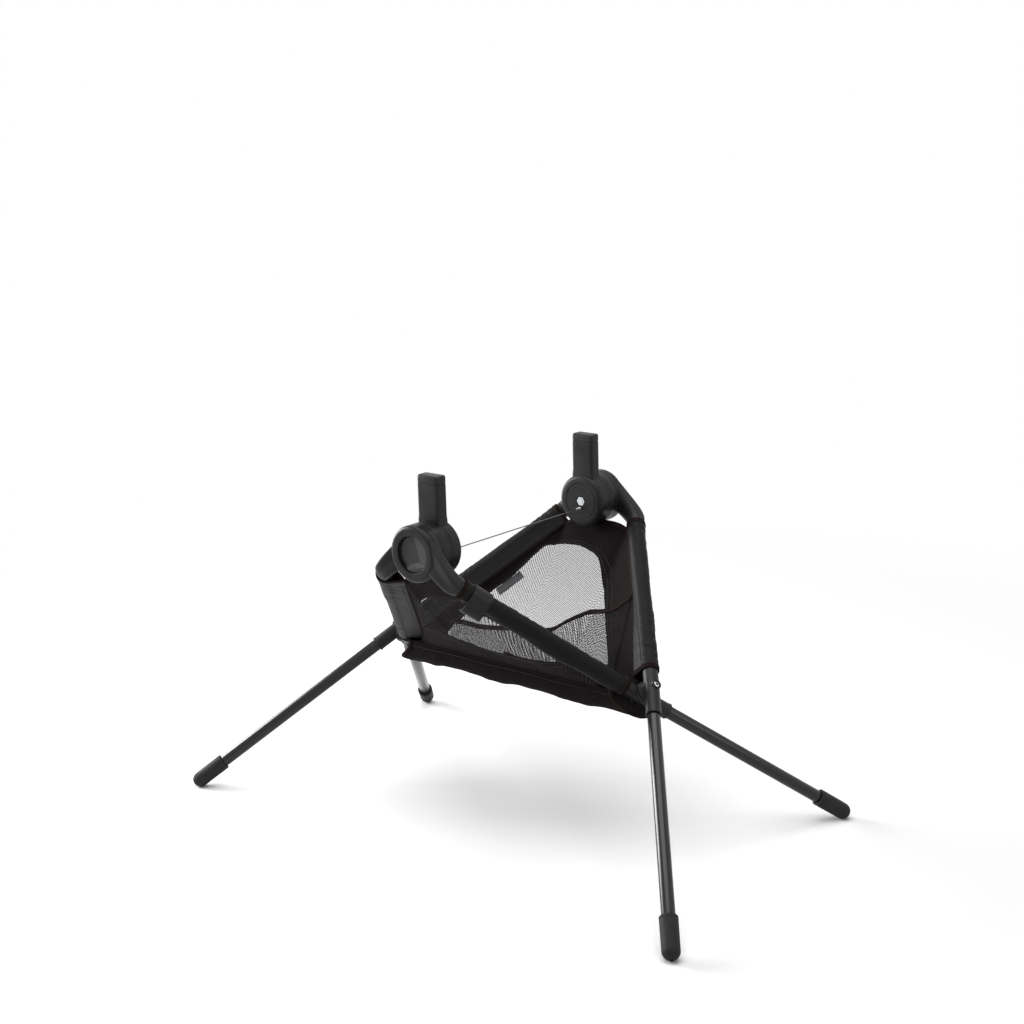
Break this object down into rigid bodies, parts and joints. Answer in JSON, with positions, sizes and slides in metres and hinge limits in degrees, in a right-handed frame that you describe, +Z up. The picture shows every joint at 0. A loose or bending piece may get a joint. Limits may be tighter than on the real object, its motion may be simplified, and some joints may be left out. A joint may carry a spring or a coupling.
{
  "type": "bassinet stand",
  "caption": "Folding stand for a bassinet: splayed crossed legs hung from hubs with upright posts, and a fabric sling basket between the legs.",
  "frame": {"origin": "on the floor under the middle of the footprint", "axes": "+Z up, +X towards the front, which has the storage clip, +Y from the near hub to the far hub"},
  "size_m": [0.9494, 0.5314, 0.5607],
  "materials": {
    "moulding": "fine matt grain",
    "hidden_tube": "gloss black",
    "gloss_tube": "gloss black",
    "sleeve_cloth": "coated woven cloth",
    "sling_mesh": "fine mesh with stitched borders",
    "sling_cloth": "woven cloth",
    "tab_cloth": "woven tape",
    "foot_rubber": "matt",
    "washer_plastic": "smooth",
    "gloss_button": "gloss",
    "bright_steel": "bright",
    "cable_steel": "stranded, dull"
  },
  "bodies": {
    "near_hub": {"near_hub_body": "moulding", "near_hub_bolt": "bright_steel", "near_hub_nut": "bright_steel", "near_cable_ferrule": "bright_steel", "spreader_cable": "cable_steel"},
    "sling": {"near_panel": "sling_mesh", "far_panel": "sling_mesh", "basket_floor": "sling_cloth", "inner_pocket": "sling_mesh", "blank_label_tab": "tab_cloth", "pull_loop": "sling_cloth"},
    "front_frame": {"near_front_arm": "moulding", "near_front_upper_tube": "hidden_tube", "near_front_sleeve": "sleeve_cloth", "near_front_socket": "moulding", "near_front_leg_tube": "gloss_tube", "near_front_foot_cap": "foot_rubber", "far_front_arm": "moulding", "far_front_upper_tube": "hidden_tube", "far_front_sleeve": "sleeve_cloth", "far_front_socket": "moulding", "far_front_leg_tube": "gloss_tube", "far_front_foot_cap": "foot_rubber", "front_pivot_bolt": "bright_steel", "front_pivot_washer": "washer_plastic", "front_pivot_nut_cap": "moulding", "near_button_spring": "bright_steel", "far_button_spring": "bright_steel", "storage_clip": "moulding"},
    "back_frame": {"near_back_arm": "moulding", "near_back_upper_tube": "hidden_tube", "near_back_sleeve": "sleeve_cloth", "near_back_socket": "moulding", "near_back_leg_tube": "gloss_tube", "near_back_foot_cap": "foot_rubber", "far_back_arm": "moulding", "far_back_upper_tube": "hidden_tube", "far_back_sleeve": "sleeve_cloth", "far_back_socket": "moulding", "far_back_leg_tube": "gloss_tube", "far_back_foot_cap": "foot_rubber", "back_pivot_bolt": "bright_steel", "back_pivot_washer": "washer_plastic", "back_pivot_nut_cap": "moulding"},
    "far_hub": {"far_hub_body": "moulding", "far_hub_bolt": "bright_steel", "far_hub_nut": "bright_steel", "far_cable_ferrule": "bright_steel"},
    "near_button": {"near_release_button": "gloss_button"},
    "far_button": {"far_release_button": "gloss_button"}
  },
  "joints": [
    {"name": "front_fold", "type": "hinge", "parent": "near_hub", "child": "front_frame", "pos_m": [0, 0.00966, 0.4537], "axis": [0, 1, 0], "range_deg": [0, 41.5], "deforming": ["near_panel", "far_panel", "basket_floor", "inner_pocket", "blank_label_tab", "pull_loop"]},
    {"name": "back_fold", "type": "hinge", "parent": "near_hub", "child": "back_frame", "pos_m": [0, 0.00966, 0.4537], "axis": [0, -1, 0], "range_deg": [0, 41.5]},
    {"name": "far_hub_turn", "type": "hinge", "parent": "front_frame", "child": "far_hub", "pos_m": [0, 0.00966, 0.4537], "axis": [0, -1, 0], "range_deg": [0, 41.5]},
    {"name": "sling_drop", "type": "slide", "parent": "near_hub", "child": "sling", "axis": [0, 0, -1], "range_m": [0, 0.062]},
    {"name": "near_button_press", "type": "slide", "parent": "front_frame", "child": "near_button", "axis": [0, 1, 0], "range_m": [0, 0.0035], "stiffness_N_per_m": 400, "springref_m": -0.002, "deforming": ["near_button_spring"]},
    {"name": "far_button_press", "type": "slide", "parent": "front_frame", "child": "far_button", "axis": [0, -1, 0], "range_m": [0, 0.0035], "stiffness_N_per_m": 400, "springref_m": -0.002, "deforming": ["far_button_spring"]}
  ],
  "couplings": [
    {"joint": "back_fold", "follows": "front_fold", "ratio": 1},
    {"joint": "far_hub_turn", "follows": "front_fold", "ratio": 1},
    {"joint": "sling_drop", "follows": "front_fold", "m_per_rad": 0.085}
  ]
}
